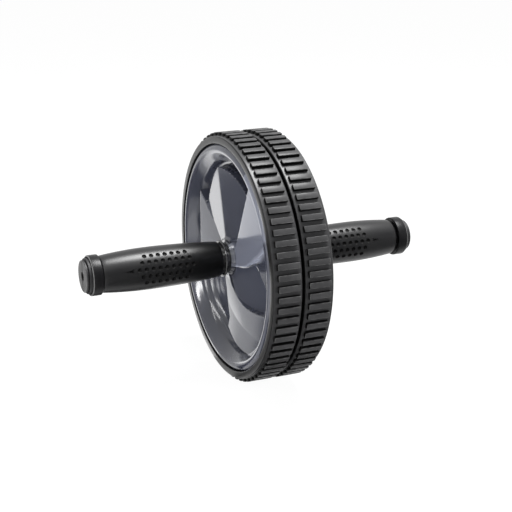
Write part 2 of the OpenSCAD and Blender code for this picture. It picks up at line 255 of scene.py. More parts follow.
def grip_rubber():
    finish = Finish("grip_rubber", specular_ior_level=0.25)
    cloud = finish.noise(60.0)
    pit = finish.attribute("pit")
    unshaded_rubber = finish.mix(cloud, (0.007, 0.007, 0.008), (0.012, 0.012, 0.012))
    # Painted shade: the grip is painted black near the wheel, and this fades further out.
    body = finish.mix(finish.off_middle("Y").step(SHADE_FADES_FROM, SHADE_GONE_AT), (0.002, 0.002, 0.002), unshaded_rubber)
    # Painted shade: the inside of each dimple is painted near black, and it is also rougher.
    finish.set("Base Color", finish.mix(pit, body, (0.0015, 0.0015, 0.0015)))
    finish.set("Roughness", cloud * 0.06 + 0.30 + pit * 0.4)
    finish.set("Normal", finish.bump(finish.noise(2200.0, 2.0), distance=0.00003, strength=0.4))
    return finish.material


# %% [markdown]
# ## The hard black finishes
# The collar beside the wheel is glossy, the cap is satin with a painted highlight line round
# its outer edge, and the plug's face is greyer, with a dark hairline across it and a black
# hole. The hairline could be cut, but it is so fine that colour does as well. The hole is
# cut in the mesh further down, and is also painted black inside as painted shade, so that it
# looks as deep as the real one.

# %% Hard black plastics
CAP_R = 14.6
CAP_OUT = 125.4
PLUG_OUT = 129.5
PLUG_HOLE_R = 3.2
HAIRLINE = 0.6


def gloss_black():
    finish = Finish("gloss_black_plastic", ior=1.75)
    cloud = finish.noise(120.0)
    finish.set("Base Color", finish.mix(cloud, (0.012, 0.012, 0.013), (0.018, 0.018, 0.019)))
    finish.set("Roughness", cloud * 0.05 + 0.09)
    return finish.material


def cap_plastic():
    finish = Finish("cap_plastic", specular_ior_level=0.15)
    cloud = finish.noise(90.0)
    body = finish.mix(cloud, (0.004, 0.004, 0.005), (0.008, 0.008, 0.008))
    # Painted highlight: a pale line round the outer edge of the cap's end.
    near_side = finish.axle_distance().step(CAP_R - 0.8, CAP_R - 0.5)
    near_end = finish.off_middle("Y").step(CAP_OUT - 0.7, CAP_OUT - 0.5)
    finish.set("Base Color", finish.mix(near_side * near_end, body, (0.11, 0.11, 0.11)))
    finish.set("Roughness", cloud * 0.08 + 0.29)
    finish.set("Normal", finish.bump(finish.noise(1800.0, 2.0), distance=0.00010, strength=0.5))
    return finish.material


def plug_plastic():
    finish = Finish("plug_plastic", specular_ior_level=0.3)
    cloud = finish.noise(140.0)
    face = finish.mix(cloud, (0.095, 0.095, 0.096), (0.130, 0.130, 0.130))
    on_face = finish.off_middle("Y").step(PLUG_OUT - 0.4, PLUG_OUT - 0.1)
    body = finish.mix(on_face, (0.014, 0.014, 0.015), face)
    hairline = 1.0 - finish.off_middle("X").step(HAIRLINE, HAIRLINE + 0.3)
    # Painted shade: the hole is painted black inside so that it looks deep. The hairline is a dark line.
    hole = 1.0 - finish.axle_distance().step(PLUG_HOLE_R, PLUG_HOLE_R + 0.3)
    hairline_and_hole_shade = (hairline + hole).maths("MINIMUM", 1.0)
    finish.set("Base Color", finish.mix(hairline_and_hole_shade, body, (0.001, 0.001, 0.001)))
    finish.set("Roughness", cloud * 0.1 + 0.45)
    finish.set("Normal", finish.bump(finish.noise(1800.0, 2.0), distance=0.00008, strength=0.5))
    return finish.material


# %% Steel and nylon, for the pieces inside
def black_steel():
    finish = Finish("black_steel", metallic=1.0)
    streak = finish.noise(200.0, 3.0, stretch=(1.0, 12.0, 1.0))
    finish.set("Base Color", finish.mix(streak, (0.010, 0.010, 0.011), (0.022, 0.022, 0.024)))
    finish.set("Roughness", streak * 0.15 + 0.35)
    return finish.material


def black_nylon():
    finish = Finish("black_nylon", ior=1.53)
    cloud = finish.noise(150.0)
    finish.set("Base Color", finish.mix(cloud, (0.012, 0.012, 0.013), (0.020, 0.020, 0.020)))
    finish.set("Roughness", cloud * 0.1 + 0.38)
    return finish.material


FINISH = {
    "wheel_plastic": wheel_plastic(),
    "tyre_rubber": tyre_rubber(),
    "grip_rubber": grip_rubber(),
    "gloss_black_plastic": gloss_black(),
    "cap_plastic": cap_plastic(),
    "plug_plastic": plug_plastic(),
    "steel": black_steel(),
    "nylon": black_nylon(),
}
print("finishes:", ", ".join(FINISH))

# %% [markdown]
# ## Turned shapes
# Nearly every piece here is turned. It could be spun with Blender's Screw modifier, but the
# wheel's face differs all the way round, so one function joins rings of points that may
# each have their own heights. A section is a closed list of corners, each with its distance
# from the axle, its distance from the middle of the object and a rounding, in millimetres.

# %% Rounded sections
def rounded(corners, steps=4):
    """Closed section from (radius, height, rounding) corners."""
    points = []
    for i, (r, z, rounding) in enumerate(corners):
        here = Vector((r, z))
        if rounding <= 0:
            points.append((r, z))
            continue
        before = (Vector(corners[i - 1][:2]) - here).normalized()
        after = (Vector(corners[(i + 1) % len(corners)][:2]) - here).normalized()
        half = before.angle(after) / 2
        centre = here + (before + after).normalized() * rounding / math.sin(half)
        first = here + before * rounding / math.tan(half) - centre
        last = here + after * rounding / math.tan(half) - centre
        start = math.atan2(first.y, first.x)
        sweep = (math.atan2(last.y, last.x) - start + math.pi) % (2 * math.pi) - math.pi
        for k in range(steps + 1):
            angle = start + sweep * k / steps
            points.append((centre.x + rounding * math.cos(angle), centre.y + rounding * math.sin(angle)))
    return points


# %% Rings of points, laid on the axle
def lay_on_axle(points, side):
    """Points built along +Z, in millimetres, laid along the axle to the left or the right."""
    x, y, z = np.asarray(points, float).T
    return np.stack([x, side * z, -side * y], axis=1) * MM


def turned_points(section, turns):
    """Each point of a section carried round +Z, as a ring."""
    section = np.asarray(section, float)
    angle = np.arange(turns) * 2 * np.pi / turns
    r = section[:, 0][:, None]
    z = section[:, 1][:, None]
    return np.stack([r * np.cos(angle), r * np.sin(angle), z + 0 * angle], axis=-1)


def tidy_mesh(mesh, crease=35.0):
    """Points the faces outwards, and shades smoothly up to an edge angle in degrees."""
    work = bmesh.new()
    work.from_mesh(mesh)
    bmesh.ops.recalc_face_normals(work, faces=work.faces)
    work.to_mesh(mesh)
    work.free()
    mesh.polygons.foreach_set("use_smooth", [True] * len(mesh.polygons))
    mesh.set_sharp_from_angle(angle=math.radians(crease))


def ring_mesh(name, grid, side):
    """A closed mesh from a grid of rings, each ring closed, and the last joined to the first."""
    rings, turns = grid.shape[:2]
    index = np.arange(rings * turns).reshape(rings, turns)
    next_ring = np.roll(index, -1, 0)
    next_turn = np.roll(index, -1, 1)
    next_both = np.roll(next_ring, -1, 1)
    faces = np.stack([index, next_ring, next_both, next_turn], -1).reshape(-1, 4)
    mesh = bpy.data.meshes.new(name)
    mesh.from_pydata(lay_on_axle(grid.reshape(-1, 3), side).tolist(), [], faces.tolist())
    tidy_mesh(mesh)
    return mesh


# %% Hand a piece to the frame
def add_piece(name, mesh, body, node, slot):
    """Puts a finished mesh in the scene in place of its CAD node."""
    piece = bpy.data.objects.new(name, mesh)
    bpy.context.scene.collection.objects.link(piece)
    mesh.materials.clear()
    mesh.materials.append(FINISH[slot])
    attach(piece, body)
    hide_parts(node)
    triangles = sum(len(p.vertices) - 2 for p in mesh.polygons)
    print(name, "triangles", triangles)


# %% Read the vertices of a mesh, and write a share on them
def vertex_places(mesh):
    """The x, y and z of all vertices, in millimetres."""
    places = np.empty(len(mesh.vertices) * 3)
    mesh.vertices.foreach_get("co", places)
    return places.reshape(-1, 3).T / MM


def write_share(mesh, name, share):
    """Stores a value from 0 to 1 for each vertex, under a name that a finish reads."""
    mesh.attributes.new(name, "FLOAT", "POINT").data.foreach_set("value", share)


# %% [markdown]
# ## The wheel
# The wheel is one glossy moulding. A rounded lip stands next to the tyre, a bowl wall runs
# down behind it to a narrow ledge, and the bowl's floor carries a relief: three raised
# petals, a roof of two facets that meet in a ridge, a sloping dish, and a leaf-shaped hollow
# beside the hub. The facets catch the light so differently that the relief looks two-toned.
# It could be sculpted, or cut from blocks, but then no edge could be moved later. Here the
# height of the face is a function of the place on it, and a fine net of rings follows it.

# %% Radii of the wheel
BORE_R = 8.5
HUB_TOP_R = 11.5
HUB_R = 13.0
HUB_EDGE = 0.2
HUB_SKIRT = 0.9
LEDGE_R = 68.6
WALL_FOOT_R = 70.4
RIM_IN_R = 80.9
RIM_R = 84.48
LIP_R = 4.4
LIP_AT_R = 80.1

# %% Heights of the wheel, from the middle of the object
RIM_IN_Z = 1.4
BUSH_SEAT_Z = 2.1
WEB_Z = 4.8
FLOOR = 7.5
LEDGE_Z = 11.0
HUB_FOOT_TOP = 17.0
PETAL_TOP = 18.0
LIP_AT_Z = 18.6
HUB_TOP = 20.9

# %% Section of the bowl's wall, from the floor up to the lip
LIP_SIDE = LIP_R * math.sin(math.radians(45))
WALL_SECTION = [
    (LEDGE_R - 1.2, 0), (LEDGE_R - 0.8, FLOOR), (LEDGE_R, LEDGE_Z - 0.4), (LEDGE_R + 0.5, LEDGE_Z),
    (WALL_FOOT_R, LEDGE_Z + 0.3), (72.2, 16.1), (75.3, 19.9), (LIP_AT_R - LIP_SIDE, LIP_AT_Z + LIP_SIDE),
]
WALL_TOP_R = WALL_SECTION[-1][0]
print("the wall meets the lip at", [round(v, 2) for v in WALL_SECTION[-1]])

# %% Edges of the three petals, as angles at growing distances from the axle
EDGE_SOFT = 0.9
EDGE_AT = [15, 26, 36, 47, 56, 66, 80]
RIGHT_PETAL = {
    "from": [-7, 1, 8, 14, 17, 21, 24], "to": [47, 53, 56, 58, 59, 60, 61],
    "end": 90, "from_soft": 3.4, "to_soft": EDGE_SOFT,
}
LEFT_PETAL = {
    "from": [147, 147, 146, 146, 145, 145, 145], "to": [205, 200, 196, 194, 192, 190, 190],
    "end": 68, "from_soft": EDGE_SOFT, "to_soft": EDGE_SOFT,
}
LOWER_PETAL = {
    "from": [-124, -104, -98, -92, -95, -80, -45], "to": [-84, -64, -50, -37, -29, -22, -16],
    "end": 90, "from_soft": 1.6, "to_soft": 1.4,
}
PETAL_END_SOFT = 2.0


# %% Small helpers for the height function
def soft_step(inside, width=EDGE_SOFT):
    """A smooth rise from 0 to 1 across an edge, over a width in millimetres."""
    t = np.clip(inside / width + 0.5, 0, 1)
    return t * t * (3 - 2 * t)


def turn_between(angle, start):
    """Angle counted from start, between -180 and 180 degrees."""
    return (angle - start + 180) % 360 - 180


def inside_sector(r, angle, middle, half):
    """Millimetres inside the sector round a middle direction, and negative outside it."""
    return np.radians(half - np.abs(turn_between(angle, middle))) * r


def blend(height, share, top):
    """The old height where share is 0, and top where it is 1."""
    return height * (1 - share) + top * share


def petal_share(r, angle, petal):
    """1 inside a petal, 0 outside, with its own softness for the two edges."""
    past_from = np.radians(turn_between(angle, np.interp(r, EDGE_AT, petal["from"]))) * r
    before_to = np.radians(turn_between(np.interp(r, EDGE_AT, petal["to"]), angle)) * r
    share = soft_step(past_from, petal["from_soft"]) * soft_step(before_to, petal["to_soft"])
    return share * soft_step(petal["end"] - r, PETAL_END_SOFT)


# %% The roof of two facets
ROOF_MIDDLE = 100
ROOF_HALF = 54
ROOF_END_AT = [40, 61, 76, 106, 124, 145, 160]
ROOF_END = [57, 59, 62, 67.5, 60, 54, 50]
RIDGE_TURN = math.radians(106.0)
RIDGE_TOP = 19.4
RIDGE_SOFT = 0.01
LEFT_TILT = math.radians(4.0)
RIGHT_TILT = math.radians(6.0)


def add_roof(height, r, angle, x, z):
    """A ridge that runs outwards, with a facet sloping down on each side of it."""
    aside = x * math.sin(RIDGE_TURN) - z * math.cos(RIDGE_TURN)
    drop = np.where(aside < 0, -aside * math.tan(LEFT_TILT), aside * math.tan(RIGHT_TILT))
    end = np.interp(turn_between(angle, 0), ROOF_END_AT, ROOF_END)
    share = soft_step(np.minimum(end - r, inside_sector(r, angle, ROOF_MIDDLE, ROOF_HALF)))
    return blend(height, share, RIDGE_TOP - np.sqrt(drop ** 2 + RIDGE_SOFT))


# %% The dish on the right
DISH_MIDDLE = -20
DISH_HALF = 48
DISH_TOP = 17.6
DISH_TOP_X = 12
DISH_SLOPE = 0.105
DISH_LOW = 12.6
SHELF_X = 44.8
SHELF_Z = 3.9
SHELF_ACROSS = (0.59, 0.81)
SHELF_TOP = 14.6
SHELF_SLOPE = 0.03


def add_dish(height, r, angle, x, z):
    """A slope that sinks to the right, with a shelf beyond a slanting line."""
    dish = np.maximum(DISH_TOP - DISH_SLOPE * (x - DISH_TOP_X), DISH_LOW)
    beyond = (x - SHELF_X) * SHELF_ACROSS[0] + (z - SHELF_Z) * SHELF_ACROSS[1]
    dish = np.where(beyond > 0, np.maximum(dish, SHELF_TOP - SHELF_SLOPE * beyond), dish)
    return blend(height, soft_step(inside_sector(r, angle, DISH_MIDDLE, DISH_HALF)), dish)


# %% The leaf-shaped hollow beside the hub
LEAF_AT = [4, 12, 30, 52, 60, 62.5]
LEAF_EDGE = [-2.6, -3.4, 1.5, 11.7, 20, 26]
LEAF_START = 4
LEAF_END = 65
LEAF_TOP = 12
LEAF_TOP_SLOPE = 0.5
LEAF_IN = [0, 1.2, 4.0, 14.0, 26.0]
LEAF_HEIGHT = [18.2, 17.4, 14.6, 12.8, 12.4]


def leaf(x, z):
    """1 inside the leaf and 0 outside, and the hollow's height at each place."""
    above_edge = z - np.interp(x, LEAF_AT, LEAF_EDGE)
    share = soft_step(np.minimum(above_edge, LEAF_END - np.hypot(x, z))) * soft_step(x - LEAF_START)
    share = share * soft_step(LEAF_TOP_SLOPE * x + LEAF_TOP - z)
    return share, np.interp(above_edge, LEAF_IN, LEAF_HEIGHT)


# %% The petals
RIGHT_SLOPE = 0.012
RIGHT_LEVEL_X = 40
LEFT_SLOPE = 0.06
LEFT_LEVEL_X = -35
LEFT_SIDE_X = -57
LEFT_SIDE_SOFT = 2.8
CROWN = 0.0008
CROWN_FROM = 4
CROWN_WIDTH = 24


def add_petals(height, r, angle, x):
    """The right and left petals slope a little, and the lower one bends down like a crown."""
    right_top = PETAL_TOP + RIGHT_SLOPE * (x - RIGHT_LEVEL_X)
    height = blend(height, petal_share(r, angle, RIGHT_PETAL), right_top)
    left_share = petal_share(r, angle, LEFT_PETAL) * soft_step(x - LEFT_SIDE_X, LEFT_SIDE_SOFT)
    height = blend(height, left_share, PETAL_TOP - LEFT_SLOPE * (x - LEFT_LEVEL_X))
    from_edge = np.radians(turn_between(np.interp(r, EDGE_AT, LOWER_PETAL["to"]), angle)) * r
    crowned = PETAL_TOP - CROWN * np.clip(from_edge - CROWN_FROM, 0, CROWN_WIDTH) ** 2
    return blend(height, petal_share(r, angle, LOWER_PETAL), crowned)


# %% Height of the whole face
FLARE = 0.8
FLARE_OUT = 4.0
FLARE_TOP = 20.8


def face_height(r, angle):
    """Height of the face at a distance from the axle and an angle in degrees."""
    x = r * np.cos(np.radians(angle))
    z = r * np.sin(np.radians(angle))
    height = add_roof(np.full_like(r, FLOOR), r, angle, x, z)
    height = add_dish(height, r, angle, x, z)
    height = blend(height, *leaf(x, z))
    height = add_petals(height, r, angle, x)
    flare = FLARE * np.clip(1 - (r - HUB_FOOT_R) / FLARE_OUT, 0, 1) ** 2
    height = np.minimum(height + flare, FLARE_TOP)
    hub = np.interp(r, [HUB_TOP_R, HUB_FOOT_R, HUB_FOOT_R + HUB_SKIRT], [HUB_TOP, HUB_FOOT_TOP, FLOOR])
    wall_r, wall_z = zip(*WALL_SECTION)
    return np.maximum(height, np.maximum(hub, np.interp(r, wall_r, wall_z)))


# %% Net of the wheel
TURNS = 540
HUB_RINGS = 14
FACE_RINGS = 92
LIP_RINGS = 14
LIP_FROM = 128
LIP_TO = 4
LIP_WALL = 3.8
HUB_RINGS_TO = HUB_FOOT_R + 1.2
FACE_RINGS_FROM = HUB_FOOT_R + 1.8


def wheel_back():
    """The lip's back, the hollow side towards the other wheel, and the bore."""
    recess_z = LIP_AT_Z - LIP_R - LIP_WALL
    return rounded([
        (RIM_R, LIP_AT_Z - 1, 0), (RIM_R, RIM_IN_Z, 0.4), (RIM_IN_R, RIM_IN_Z, 0.6),
        (RIM_IN_R, recess_z, 1.5), (WALL_FOOT_R + 4.0, recess_z - 0.6, 2.0),
        (WALL_FOOT_R, WEB_Z, 2.5), (HUB_R, WEB_Z, 1.0), (HUB_R, BUSH_SEAT_Z, 0.4),
        (BORE_R, BUSH_SEAT_Z, 0), (BORE_R, HUB_TOP, 0), (HUB_TOP_R, HUB_TOP, HUB_EDGE),
    ])


def wheel_grid():
    """Rings from the hub over the face and the lip, and back inside to the hub."""
    angle = np.arange(TURNS) * 2 * np.pi / TURNS
    face_r = np.concatenate([
        np.linspace(HUB_TOP_R + HUB_EDGE, HUB_RINGS_TO, HUB_RINGS),
        np.linspace(FACE_RINGS_FROM, WALL_TOP_R, FACE_RINGS)])
    r = np.repeat(face_r[:, None], TURNS, 1)
    face = face_height(r, np.degrees(angle)[None, :] + 0 * r)
    face_points = np.stack([r * np.cos(angle), r * np.sin(angle), face], -1)
    lip = [(LIP_AT_R + LIP_R * math.cos(a), LIP_AT_Z + LIP_R * math.sin(a))
           for a in np.radians(np.linspace(LIP_FROM, LIP_TO, LIP_RINGS))]
    return np.concatenate([face_points, turned_points(lip + wheel_back(), TURNS)])


# %% Mark where light is painted on the plastic
PETAL_PAINTED_LIGHT = 0.4


def mark_painted_light(mesh, side):
    """Writes 1 in the hollow beside the hub, and less on the petal above it, where light is painted into the
    colour.
    """
    x, y, z = vertex_places(mesh)
    on_petal = petal_share(np.hypot(x, z), np.degrees(np.arctan2(-side * z, x)), RIGHT_PETAL)
    in_leaf, _ = leaf(x, -side * z)
    # Painted light: this share marks where the colour is lightened.
    pale = blend(in_leaf, on_petal, PETAL_PAINTED_LIGHT) * (np.abs(y) > FLOOR)
    write_share(mesh, "pale", pale)
    print("pale vertices:", int((pale > 0.5).sum()))


# %% Both wheels
for side_name, side in SIDES.items():
    mesh = ring_mesh(f"{side_name}_wheel_shell", wheel_grid(), side)
    mark_painted_light(mesh, side)
    add_piece(mesh.name, mesh, f"{side_name}_wheel_set", f"{side_name}_wheel", "wheel_plastic")

# %% [markdown]
# ## Geometry Nodes for what repeats
# The tread is one bar copied round the tyre, and the grip's texture is one ball copied over
# two patches. Array modifiers could do the first, but not the second, so both use a tree. A
# small builder makes the tree with named inputs, runs it on an object, and turns the result
# into a plain mesh, so that nothing live is left in the scene.

# %% Builder for Geometry Nodes trees
class Tree:
    def __init__(self, name):
        self.group = bpy.data.node_groups.new(name, "GeometryNodeTree")
        self.interface = self.group.interface
        self.interface.new_socket("Geometry", in_out="INPUT", socket_type="NodeSocketGeometry")
        self.interface.new_socket("Geometry", in_out="OUTPUT", socket_type="NodeSocketGeometry")
        self.values = {}

    def input(self, name, kind, value):
        socket = self.interface.new_socket(name, in_out="INPUT", socket_type=kind)
        self.values[socket.identifier] = value

    def node(self, kind, settings=None, links=None):
        made = self.group.nodes.new(kind)
        for name, value in (settings or {}).items():
            setattr(made, name, value)
        for key, value in (links or {}).items():
            if isinstance(value, bpy.types.NodeSocket):
                self.group.links.new(value, made.inputs[key])
            else:
                made.inputs[key].default_value = value
        return made

    def end(self, geometry, material):
        """Makes copies real, gives them their material, and closes the tree."""
        solid = self.node("GeometryNodeRealizeInstances", {}, {0: geometry})
        painted = self.node("GeometryNodeSetMaterial", {}, {
            "Geometry": solid.outputs[0], "Material": material})
        last = self.group.nodes.new("NodeGroupOutput")
        self.group.links.new(painted.outputs[0], last.inputs[0])

    def run(self, name, mesh):
        """The tree's result on a mesh, as a new plain mesh."""
        carrier = bpy.data.objects.new(name, mesh)
        bpy.context.scene.collection.objects.link(carrier)
        modifier = carrier.modifiers.new("shape", "NODES")
        modifier.node_group = self.group
        for identifier, value in self.values.items():
            modifier[identifier] = value
        graph = bpy.context.evaluated_depsgraph_get()
        made = bpy.data.meshes.new_from_object(carrier.evaluated_get(graph), depsgraph=graph)
        carrier.modifiers.remove(modifier)
        bpy.data.objects.remove(carrier)
        made.name = name
        return made


def helper_object(name, mesh):
    """An object that a tree reads, and that is removed afterwards."""
    helper = bpy.data.objects.new(name, mesh)
    bpy.context.scene.collection.objects.link(helper)
    return helper


# %% [markdown]
# ## The tyres
# A tyre is a rubber band with 74 bars across it and a smooth strip on each side. One bar is
# made at the top of the tyre and turned round the axle by a tree that only needs the number
# of bars. Modelling each bar by hand would give the same tread, but its count and its size
# couldn't be changed in one place. A bar at the very bottom stands on the floor.

# %% The band under the bars
BARS = 74
BAND_TURNS = 4 * BARS
TYRE_R = 84.5
TYRE_IN = 0.9
TYRE_OUT = 22.8


def tyre_band_section():
    return rounded([
        (TYRE_R, TYRE_IN, 0), (TREAD_R, TYRE_IN, 1.1), (TREAD_R, TYRE_OUT, 1.1), (TYRE_R, TYRE_OUT, 0.35),
    ])


# %% One tread bar, at the top of the tyre
BAR_IN = 3.4
BAR_OUT = 19.6
BAR_W = 4.2
BAR_FOOT_R = TREAD_R - 0.8
FOOT_WIDER = 0.5
FOOT_LONGER = 0.35
BEVEL = 0.5
HIGHLIGHT_FROM_R = BAR_TOP_R - 0.95 * BEVEL
HIGHLIGHT_TO_R = BAR_TOP_R - 0.03


def bar_mesh(side):
    """A bar that widens a little towards its foot, with its rounded top edges marked for a painted
    highlight.
    """
    work = bmesh.new()
    bmesh.ops.create_cube(work, size=1.0)
    middle = side * (BAR_IN + BAR_OUT) / 2
    for vertex in work.verts:
        at_foot = vertex.co.z < 0
        width = BAR_W + (FOOT_WIDER if at_foot else 0.0)
        length = BAR_OUT - BAR_IN + (FOOT_LONGER if at_foot else 0.0)
        r = BAR_FOOT_R if at_foot else BAR_TOP_R
        vertex.co = Vector((vertex.co.x * width, middle + vertex.co.y * length, r)) * MM
    half_way = (BAR_FOOT_R + BAR_TOP_R) / 2 * MM
    edges = [e for e in work.edges if max(v.co.z for v in e.verts) > half_way]
    bmesh.ops.bevel(work, geom=edges, offset=BEVEL * MM, segments=2, profile=0.6, affect="EDGES")
    mesh = bpy.data.meshes.new("tread_bar")
    work.to_mesh(mesh)
    work.free()
    # The band near the top is marked for a painted highlight in the tyre's finish.
    r = vertex_places(mesh)[2]
    write_share(mesh, "edge", ((r > HIGHLIGHT_FROM_R) & (r < HIGHLIGHT_TO_R)).astype(float))
    return mesh


# %% Tree that turns the bar round the axle
def tread_tree(bar):
    tree = Tree("tread_round_the_axle")
    tree.input("Bar", "NodeSocketObject", bar)
    tree.input("Bars", "NodeSocketInt", BARS)
    tree.input("Pitch Angle", "NodeSocketFloat", 2 * math.pi / BARS)
    tree.input("Rubber", "NodeSocketMaterial", FINISH["tyre_rubber"])
    entry = tree.node("NodeGroupInput")
    index = tree.node("GeometryNodeInputIndex")
    turn = tree.node("ShaderNodeMath", {"operation": "MULTIPLY"}, {
        0: index.outputs[0], 1: entry.outputs["Pitch Angle"]})
    spin = tree.node("ShaderNodeCombineXYZ", {}, {1: turn.outputs[0]})
    points = tree.node("GeometryNodePoints", {}, {"Count": entry.outputs["Bars"]})
    shape = tree.node("GeometryNodeObjectInfo", {}, {"Object": entry.outputs["Bar"]})
    copies = tree.node("GeometryNodeInstanceOnPoints", {}, {
        "Points": points.outputs[0], "Instance": shape.outputs["Geometry"], "Rotation": spin.outputs[0]})
    joined = tree.node("GeometryNodeJoinGeometry")
    tree.group.links.new(entry.outputs["Geometry"], joined.inputs[0])
    tree.group.links.new(copies.outputs[0], joined.inputs[0])
    tree.end(joined.outputs[0], entry.outputs["Rubber"])
    return tree


# %% Both tyres
TYRE_CREASE = 40.0

for side_name, side in SIDES.items():
    bar = helper_object("bar_pattern", bar_mesh(side))
    band = ring_mesh("band", turned_points(tyre_band_section(), BAND_TURNS), side)
    mesh = tread_tree(bar).run(f"{side_name}_tyre_tread", band)
    bpy.data.objects.remove(bar)
    tidy_mesh(mesh, TYRE_CREASE)
    add_piece(mesh.name, mesh, f"{side_name}_wheel_set", f"{side_name}_tyre", "tyre_rubber")

# %% [markdown]
# ## The grips
# A grip is a barrel of soft black rubber with two patches of dimples, and a small dart that
# points outwards beyond each patch. Bump alone would fake the dimples from afar, but their
# dark mouths show up close. So a tree sets balls on a list of points and cuts them out of
# the barrel, together with the darts.

# %% The barrel
CORE_R = 10.5
GRIP_LEN = 90.0
BELLY_AT = 54.0
GRIP_IN_R = 12.9
GRIP_BELLY_R = 15.4
GRIP_OUT_R = 13.2
GRIP_START = {"left": 27.4, "right": 25.8}
BARREL_FROM = 3
BARREL_TO = 88
BARREL_RINGS = 44
BARREL_TURNS = 128


def grip_radius(s):
    """Radius of the barrel at a distance from its inner end."""
    if s < BELLY_AT:
        return GRIP_BELLY_R - (GRIP_BELLY_R - GRIP_IN_R) * ((BELLY_AT - s) / BELLY_AT) ** 2
    return GRIP_BELLY_R - (GRIP_BELLY_R - GRIP_OUT_R) * ((s - BELLY_AT) / (GRIP_LEN - BELLY_AT)) ** 2


def grip_section(start):
    """The tube inside, the rounded inner end, the barrel's curve and the rounded outer end."""
    end = start + GRIP_LEN
    near_end = (grip_radius(BARREL_FROM), start + BARREL_FROM, 0)
    points = rounded([
        (CORE_R, end, 0), (CORE_R, start, 0), (GRIP_IN_R, start, 0.7), near_end, (GRIP_OUT_R, end, 0.9)])
    at = points.index(near_end[:2])
    curve = [(grip_radius(s), start + s) for s in np.linspace(BARREL_FROM, BARREL_TO, BARREL_RINGS)]
    return points[:at] + curve + points[at + 1:]


# %% Where the dimples go
DIMPLE_PITCH = 5.1
DIMPLE_AT = 44.0
DIMPLE_TURN = math.radians(15.0)
DIMPLES_MIDDLE = 9
ROWS_BESIDE = 2
BALL_R = 1.74
DIMPLE_DEEP = 1.35


def patch_middle(side, patch):
    """Direction of a patch round the grip: the first towards +X, the second opposite."""
    return -side * DIMPLE_TURN + patch * math.pi


def dimple_balls(start, side):
    """Centres of the balls that cut the dimples, along +Z in millimetres."""
    balls = []
    for patch in (0, 1):
        for row in range(-ROWS_BESIDE, ROWS_BESIDE + 1):
            count = DIMPLES_MIDDLE - abs(row)
            angle = patch_middle(side, patch) + row * DIMPLE_PITCH / GRIP_BELLY_R
            for i in range(count):
                s = DIMPLE_AT + (i - (count - 1) / 2) * DIMPLE_PITCH
                r = grip_radius(s) + BALL_R - DIMPLE_DEEP
                balls.append((r * math.cos(angle), r * math.sin(angle), start + s))
    return balls


# %% The darts
DART_TAIL = DIMPLE_AT + 5 * DIMPLE_PITCH - 1.5
DART_OUTLINE = [(0, -1.5), (2.2, -0.8), (7.0, 0.0), (2.2, 0.8), (0, 1.5), (1.2, 0.0)]
DART_DEEP = 0.9
CUTTER_OVER = 2
DART_BOTTOM_R = grip_radius(DART_TAIL + 2) - DART_DEEP
DART_OVER_R = grip_radius(DART_TAIL) + CUTTER_OVER


def dart_level(start, middle, r):
    """The dart's outline, laid flat at one distance from the axle."""
    along = np.array([math.cos(middle), math.sin(middle)])
    across = np.array([-math.sin(middle), math.cos(middle)])
    return [(*(along * r + across * y), start + DART_TAIL + s) for s, y in DART_OUTLINE]


def dart_mesh(start, side):
    """Two upright blocks with the darts' outline, which cut the barrel."""
    points = []
    faces = []
    corners = len(DART_OUTLINE)
    for patch in (0, 1):
        low = len(points)
        high = low + corners
        for r in (DART_BOTTOM_R, DART_OVER_R):
            points += dart_level(start, patch_middle(side, patch), r)
        faces += [tuple(range(low, high)), tuple(range(high, high + corners))[::-1]]
        for k in range(corners):
            onward = (k + 1) % corners
            faces.append((low + k, high + k, high + onward, low + onward))
    mesh = bpy.data.meshes.new("dart_cutter")
    mesh.from_pydata(lay_on_axle(points, side).tolist(), [], faces)
    tidy_mesh(mesh)
    return mesh


# %% Tree that cuts the dimples
def dimple_tree(places, darts):
    tree = Tree("dimples_from_balls")
    tree.input("Places", "NodeSocketObject", places)
    tree.input("Darts", "NodeSocketObject", darts)
    tree.input("Ball Radius", "NodeSocketFloat", BALL_R * MM)
    tree.input("Rubber", "NodeSocketMaterial", FINISH["grip_rubber"])
    entry = tree.node("NodeGroupInput")
    centres = tree.node("GeometryNodeObjectInfo", {}, {"Object": entry.outputs["Places"]})
    dart = tree.node("GeometryNodeObjectInfo", {}, {"Object": entry.outputs["Darts"]})
    ball = tree.node("GeometryNodeMeshIcoSphere", {}, {
        "Radius": entry.outputs["Ball Radius"], "Subdivisions": 3})
    balls = tree.node("GeometryNodeInstanceOnPoints", {}, {
        "Points": centres.outputs["Geometry"], "Instance": ball.outputs["Mesh"]})
    solid = tree.node("GeometryNodeRealizeInstances", {}, {0: balls.outputs[0]})
    cut = tree.node("GeometryNodeMeshBoolean", {"operation": "DIFFERENCE", "solver": "EXACT"})
    tree.group.links.new(entry.outputs["Geometry"], cut.inputs[0])
    tree.group.links.new(solid.outputs[0], cut.inputs[1])
    tree.group.links.new(dart.outputs["Geometry"], cut.inputs[1])
    tree.end(cut.outputs[0], entry.outputs["Rubber"])
    return tree


# %% Mark the inside of each dimple, where the finish paints shade and roughens the rubber
PIT_FROM = 0.15
PIT_TO = 2.0
PATCHES_FROM = 8
PATCHES_TO = 82


def mark_pits(mesh, start):
    x, y, z = vertex_places(mesh)
    s = np.abs(y) - start
    depth = np.array([grip_radius(v) for v in s]) - np.hypot(x, z)
    pit = (depth > PIT_FROM) & (depth < PIT_TO) & (s > PATCHES_FROM) & (s < PATCHES_TO)
    write_share(mesh, "pit", pit.astype(float))
    print("vertices inside dimples:", int(pit.sum()))


# %% Both grips
GRIP_CREASE = 32.0

